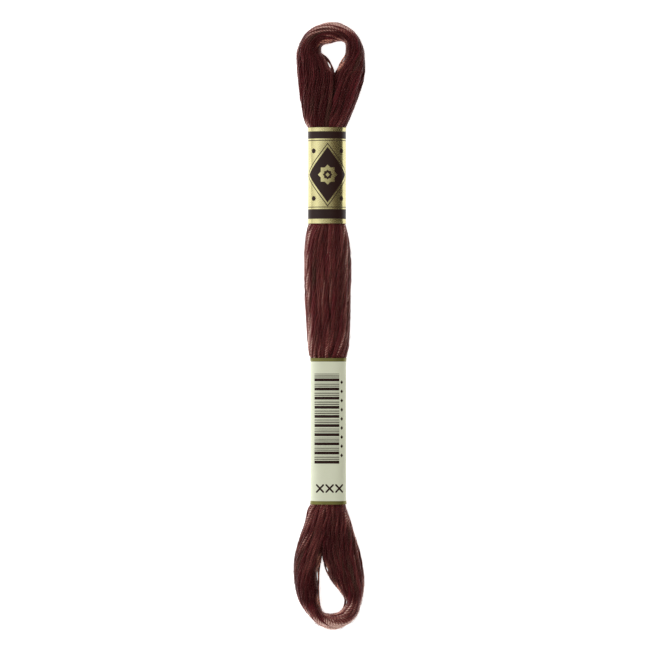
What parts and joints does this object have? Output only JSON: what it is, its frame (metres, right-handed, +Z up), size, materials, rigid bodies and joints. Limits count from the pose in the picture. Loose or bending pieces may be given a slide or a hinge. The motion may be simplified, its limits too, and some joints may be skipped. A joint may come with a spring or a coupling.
{
  "type": "skein of embroidery floss",
  "caption": "Skein of cotton embroidery floss, wound into a long narrow hank, held flat by paper bands, with an open loop at each end.",
  "frame": {"origin": "middle of the skein's length and width, on the surface it lies on", "axes": "+Y along the skein, from the lower band's end to the upper band's end; +X to the right as seen from above; +Z up, away from the surface"},
  "size_m": [0.0196, 0.1644, 0.0092],
  "materials": {
    "floss": "mercerised cotton, soft sheen along the strands",
    "gold_paper": "gold-printed paper with dark bars, satin",
    "pale_paper": "pale green-white paper with gold edges, satin"
  },
  "bodies": {
    "root": {"floss_hank": "floss", "upper_band": "gold_paper", "lower_band": "pale_paper"}
  },
  "joints": []
}
